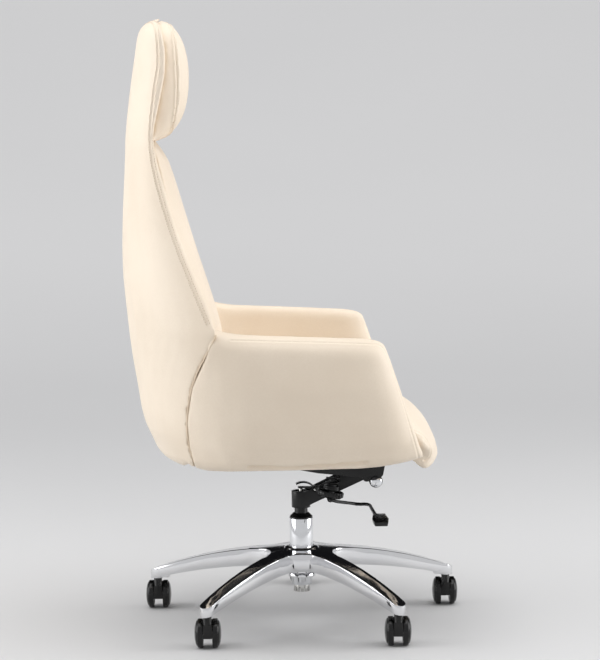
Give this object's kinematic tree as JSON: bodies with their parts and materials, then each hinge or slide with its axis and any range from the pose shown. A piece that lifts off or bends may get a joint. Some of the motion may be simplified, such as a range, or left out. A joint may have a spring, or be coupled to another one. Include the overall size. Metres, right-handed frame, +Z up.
{
  "type": "swivel office chair",
  "caption": "High-backed upholstered swivel chair with wrap-round arms, headrest pillow, front-pivot tilt, gas lift, star base and twin casters.",
  "frame": {"origin": "on the floor, on the axis of the gas lift", "axes": "+X is the front of the chair, +Y its left, +Z up"},
  "size_m": [0.7179, 0.7267, 1.282],
  "materials": {
    "polished_casting": "mirror polished",
    "chromed_steel": "chromed",
    "bright_steel": "ground",
    "black_steel": "satin powder coat",
    "black_plastic": "satin moulded",
    "wheel_plastic": "moulded, lightly worn tread",
    "plywood": "stained plywood",
    "padded_leather": "smooth leather over thin foam",
    "cushion_leather": "smooth leather over foam"
  },
  "bodies": {
    "base": {"base_star": "polished_casting", "column_tube": "chromed_steel", "guide_bush": "black_plastic", "thrust_bearing": "bright_steel", "rod_retainer": "bright_steel", "caster_stems": "bright_steel"},
    "caster_1": {"caster_hood_1": "black_plastic", "caster_axle_1": "bright_steel"},
    "right_wheel_1": {"wheel_right_1": "wheel_plastic"},
    "left_wheel_1": {"wheel_left_1": "wheel_plastic"},
    "caster_2": {"caster_hood_2": "black_plastic", "caster_axle_2": "bright_steel"},
    "right_wheel_2": {"wheel_right_2": "wheel_plastic"},
    "left_wheel_2": {"wheel_left_2": "wheel_plastic"},
    "caster_3": {"caster_hood_3": "black_plastic", "caster_axle_3": "bright_steel"},
    "right_wheel_3": {"wheel_right_3": "wheel_plastic"},
    "left_wheel_3": {"wheel_left_3": "wheel_plastic"},
    "caster_4": {"caster_hood_4": "black_plastic", "caster_axle_4": "bright_steel"},
    "right_wheel_4": {"wheel_right_4": "wheel_plastic"},
    "left_wheel_4": {"wheel_left_4": "wheel_plastic"},
    "caster_5": {"caster_hood_5": "black_plastic", "caster_axle_5": "bright_steel"},
    "right_wheel_5": {"wheel_right_5": "wheel_plastic"},
    "left_wheel_5": {"wheel_left_5": "wheel_plastic"},
    "rod": {"piston_rod": "bright_steel"},
    "lift": {"gas_cylinder": "black_steel", "tilt_arm": "black_steel", "pivot_bushes": "black_plastic", "release_pin": "bright_steel", "tension_spring": "black_steel"},
    "button": {"valve_button": "bright_steel"},
    "knob": {"tension_knob": "black_plastic", "tension_screw": "black_steel"},
    "spring_carrier": {"spring_seat": "black_steel"},
    "tongue": {"release_tongue": "black_steel"},
    "lever": {"lever_rod": "black_steel", "lever_crank": "black_steel", "lever_paddle": "black_plastic"},
    "seat": {"upper_bracket": "black_steel", "pivot_axle": "chromed_steel", "axle_nut": "chromed_steel", "pan_bolts": "black_steel", "seat_pan": "plywood", "arm_frame_right": "plywood", "arm_frame_left": "plywood", "back_board": "plywood", "back_shell": "padded_leather", "arm_right": "padded_leather", "arm_left": "padded_leather", "back_cushion": "cushion_leather", "seat_cushion": "cushion_leather", "headrest": "cushion_leather"}
  },
  "joints": [
    {"name": "caster_swivel_1", "type": "hinge", "parent": "base", "child": "caster_1", "pos_m": [0.01444, 0.33069, 0.066], "axis": [0, 0, 1], "continuous": true},
    {"name": "right_wheel_spin_1", "type": "hinge", "parent": "caster_1", "child": "right_wheel_1", "pos_m": [0.01531, 0.35067, 0.03], "axis": [0.999, -0.0436, 0], "continuous": true},
    {"name": "left_wheel_spin_1", "type": "hinge", "parent": "caster_1", "child": "left_wheel_1", "pos_m": [0.01531, 0.35067, 0.03], "axis": [0.999, -0.0436, 0], "continuous": true},
    {"name": "caster_swivel_2", "type": "hinge", "parent": "base", "child": "caster_2", "pos_m": [-0.31004, 0.11592, 0.066], "axis": [0, 0, 1], "continuous": true},
    {"name": "right_wheel_spin_2", "type": "hinge", "parent": "caster_2", "child": "right_wheel_2", "pos_m": [-0.30917, 0.1359, 0.03], "axis": [0.999, -0.0436, 0], "continuous": true},
    {"name": "left_wheel_spin_2", "type": "hinge", "parent": "caster_2", "child": "left_wheel_2", "pos_m": [-0.30917, 0.1359, 0.03], "axis": [0.999, -0.0436, 0], "continuous": true},
    {"name": "caster_swivel_3", "type": "hinge", "parent": "base", "child": "caster_3", "pos_m": [-0.20605, -0.25904, 0.066], "axis": [0, 0, 1], "continuous": true},
    {"name": "right_wheel_spin_3", "type": "hinge", "parent": "caster_3", "child": "right_wheel_3", "pos_m": [-0.20518, -0.23906, 0.03], "axis": [0.999, -0.0436, 0], "continuous": true},
    {"name": "left_wheel_spin_3", "type": "hinge", "parent": "caster_3", "child": "left_wheel_3", "pos_m": [-0.20518, -0.23906, 0.03], "axis": [0.999, -0.0436, 0], "continuous": true},
    {"name": "caster_swivel_4", "type": "hinge", "parent": "base", "child": "caster_4", "pos_m": [0.18269, -0.27602, 0.066], "axis": [0, 0, 1], "continuous": true},
    {"name": "right_wheel_spin_4", "type": "hinge", "parent": "caster_4", "child": "right_wheel_4", "pos_m": [0.18356, -0.25604, 0.03], "axis": [0.999, -0.0436, 0], "continuous": true},
    {"name": "left_wheel_spin_4", "type": "hinge", "parent": "caster_4", "child": "left_wheel_4", "pos_m": [0.18356, -0.25604, 0.03], "axis": [0.999, -0.0436, 0], "continuous": true},
    {"name": "caster_swivel_5", "type": "hinge", "parent": "base", "child": "caster_5", "pos_m": [0.31896, 0.08846, 0.066], "axis": [0, 0, 1], "continuous": true},
    {"name": "right_wheel_spin_5", "type": "hinge", "parent": "caster_5", "child": "right_wheel_5", "pos_m": [0.31983, 0.10844, 0.03], "axis": [0.999, -0.0436, 0], "continuous": true},
    {"name": "left_wheel_spin_5", "type": "hinge", "parent": "caster_5", "child": "left_wheel_5", "pos_m": [0.31983, 0.10844, 0.03], "axis": [0.999, -0.0436, 0], "continuous": true},
    {"name": "seat_swivel", "type": "hinge", "parent": "base", "child": "rod", "pos_m": [0, 0, 0.15], "axis": [0, 0, 1], "continuous": true},
    {"name": "seat_height", "type": "slide", "parent": "rod", "child": "lift", "axis": [0, 0, 1], "range_m": [0, 0.08]},
    {"name": "valve_press", "type": "slide", "parent": "lift", "child": "button", "axis": [0, 0, -1], "range_m": [0, 0.0025], "stiffness_N_per_m": 1, "springref_m": -0.1},
    {"name": "tension_turn", "type": "hinge", "parent": "lift", "child": "knob", "pos_m": [0.058, -0.052, 0.273], "axis": [0.1908, 0, 0.9816], "range_deg": [0, 1440]},
    {"name": "spring_seat_travel", "type": "slide", "parent": "lift", "child": "spring_carrier", "axis": [0.1908, 0, 0.9816], "range_m": [0, 0.0082]},
    {"name": "valve_tongue", "type": "hinge", "parent": "lift", "child": "tongue", "pos_m": [0.029, 0, 0.28326], "axis": [0, -1, 0], "range_deg": [0, 4.41]},
    {"name": "height_lever", "type": "hinge", "parent": "lift", "child": "lever", "pos_m": [0.062, 0, 0.26153], "axis": [0, -1, 0], "range_deg": [0, 6.5], "stiffness_Nm_per_rad": 2, "springref_deg": -6.88},
    {"name": "seat_tilt", "type": "hinge", "parent": "lift", "child": "seat", "pos_m": [0.155, 0, 0.309], "axis": [0, -1, 0], "range_deg": [0, 9], "stiffness_Nm_per_rad": 420, "springref_deg": -12.61, "deforming": ["tension_spring"]}
  ],
  "couplings": [
    {"joint": "spring_seat_travel", "follows": "tension_turn", "m_per_rad": 0.000318},
    {"joint": "valve_tongue", "follows": "height_lever", "ratio": 0.665},
    {"joint": "valve_press", "follows": "height_lever", "m_per_rad": 0.0216}
  ]
}
